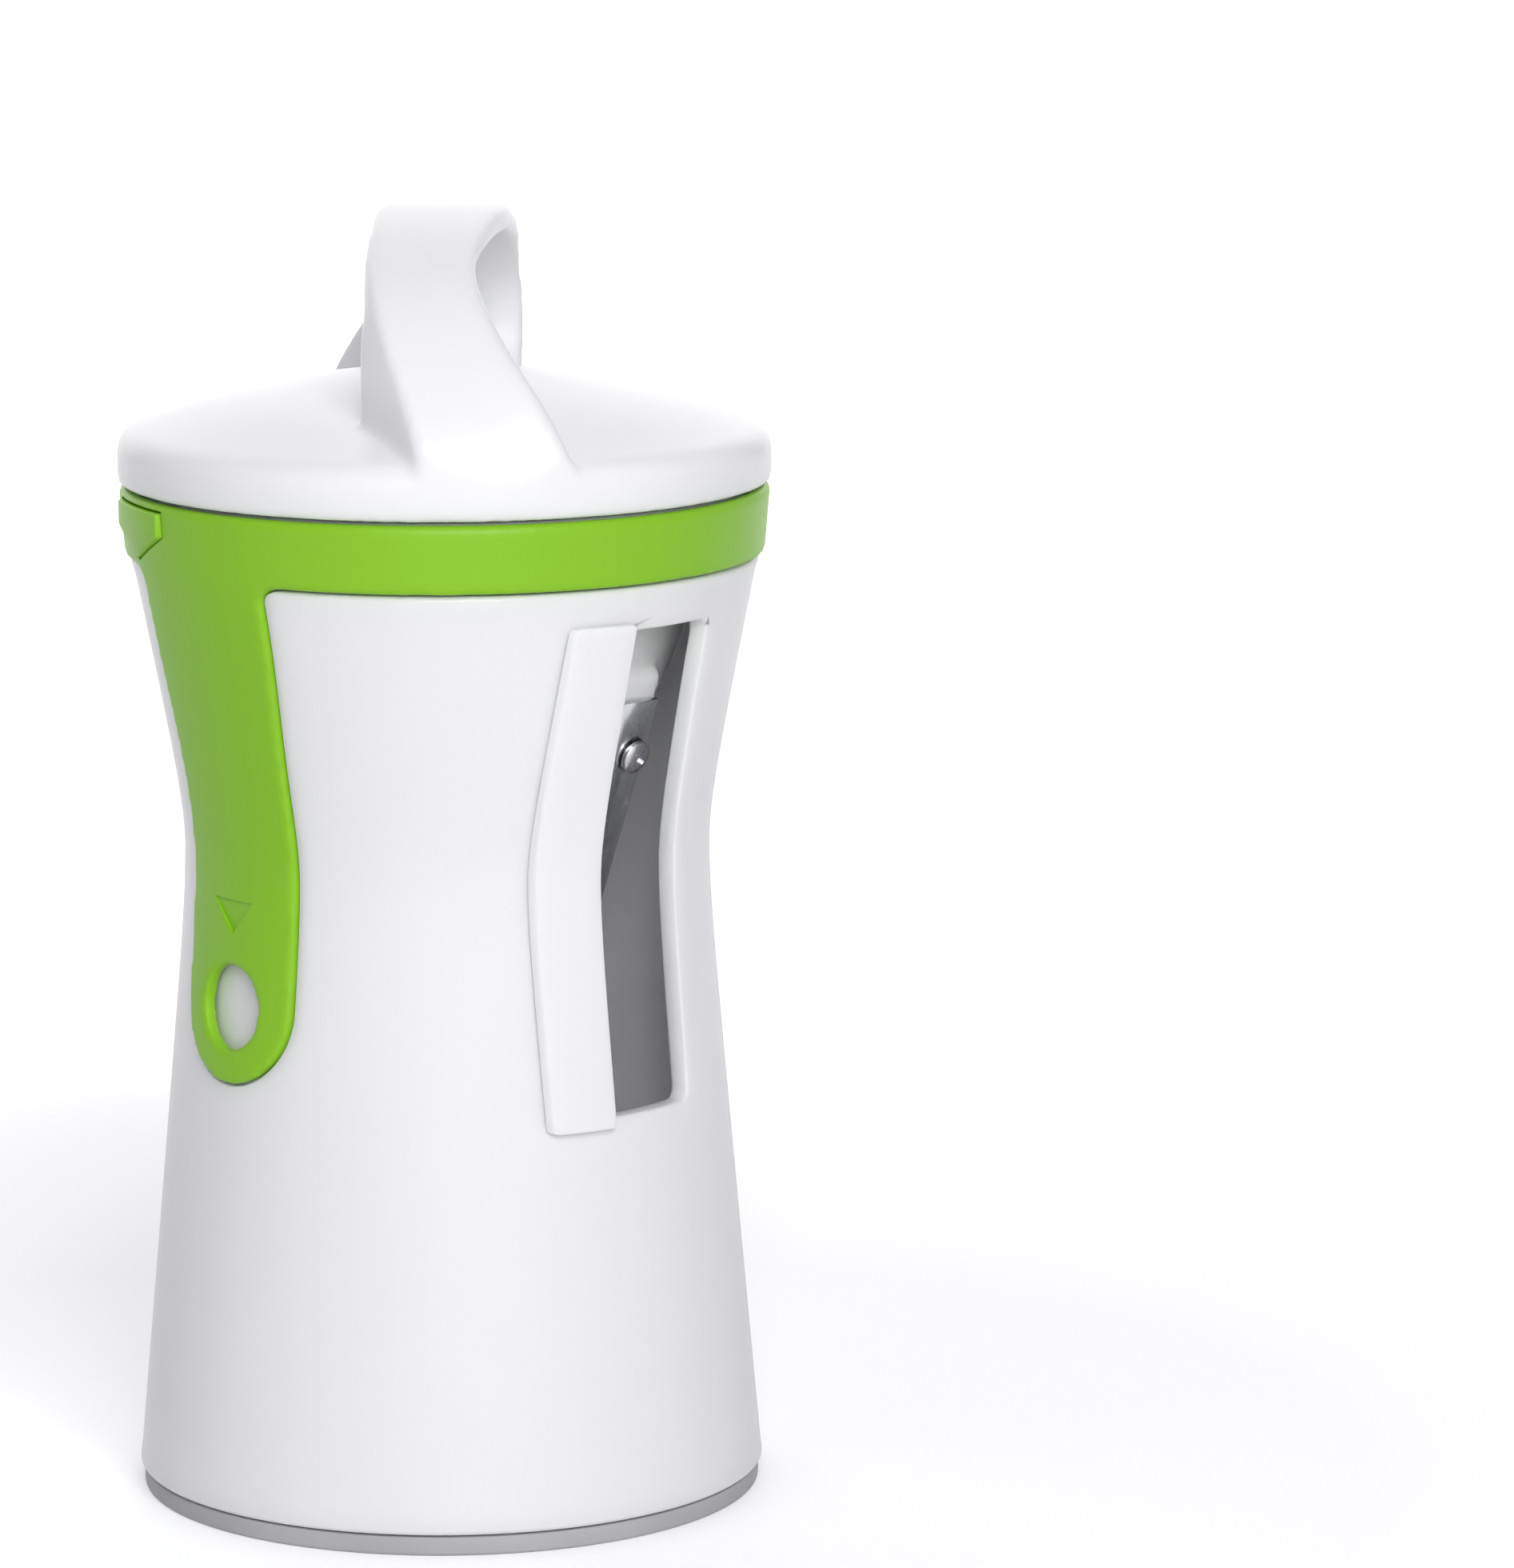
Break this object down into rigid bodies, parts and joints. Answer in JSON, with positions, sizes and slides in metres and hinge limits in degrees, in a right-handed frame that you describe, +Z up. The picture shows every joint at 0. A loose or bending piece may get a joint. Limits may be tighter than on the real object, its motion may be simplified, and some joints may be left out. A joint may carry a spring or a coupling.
{
  "type": "hand-turned vegetable spiralizer",
  "caption": "Hourglass hand spiralizer with a green grip collar, a side window, an inner cutting cone with blade and comb, and a spiked turning cap with a twisted handle.",
  "frame": {"origin": "middle of the footprint, on the surface the foot ring stands on", "axes": "+Z up the tool's axis, -Y towards the viewer of the picture, +X to the viewer's right"},
  "size_m": [0.0824, 0.0824, 0.1641],
  "materials": {
    "white_plastic": "satin-gloss white moulded plastic",
    "ring_plastic": "slightly greyer white moulded plastic",
    "green_grip": "soft-touch lime green",
    "grey_rubber": "matt grey rubber",
    "blade_steel": "fine-ground stainless steel",
    "screw_steel": "bright stainless steel"
  },
  "bodies": {
    "holder": {"body_shell": "white_plastic", "blade_guard": "white_plastic", "foot_ring": "grey_rubber", "grip_collar": "green_grip"},
    "cutter": {"cutting_cone": "white_plastic", "slicing_blade": "blade_steel", "julienne_comb": "blade_steel", "blade_screw_1": "screw_steel", "blade_screw_2": "screw_steel", "blade_screw_3": "screw_steel", "blade_screw_4": "screw_steel"},
    "cap_seat": {"cap_seat_ring": "ring_plastic"},
    "cap": {"turning_cap": "white_plastic", "spike_plate": "ring_plastic", "centre_spike": "blade_steel", "food_spike_1": "blade_steel", "food_spike_2": "blade_steel", "food_spike_3": "blade_steel", "food_spike_4": "blade_steel", "food_spike_5": "blade_steel", "food_spike_6": "blade_steel", "plate_screw_1": "screw_steel", "plate_screw_2": "screw_steel", "plate_screw_3": "screw_steel"}
  },
  "joints": [
    {"name": "cutter_lift", "type": "slide", "parent": "holder", "child": "cutter", "axis": [0, 0, 1], "range_m": [0, 0.08]},
    {"name": "cap_lift", "type": "slide", "parent": "cutter", "child": "cap_seat", "axis": [0, 0, 1], "range_m": [0, 0.06]},
    {"name": "cap_turn", "type": "hinge", "parent": "cap_seat", "child": "cap", "pos_m": [0, 0, 0.1295], "axis": [0, 0, 1], "continuous": true}
  ]
}
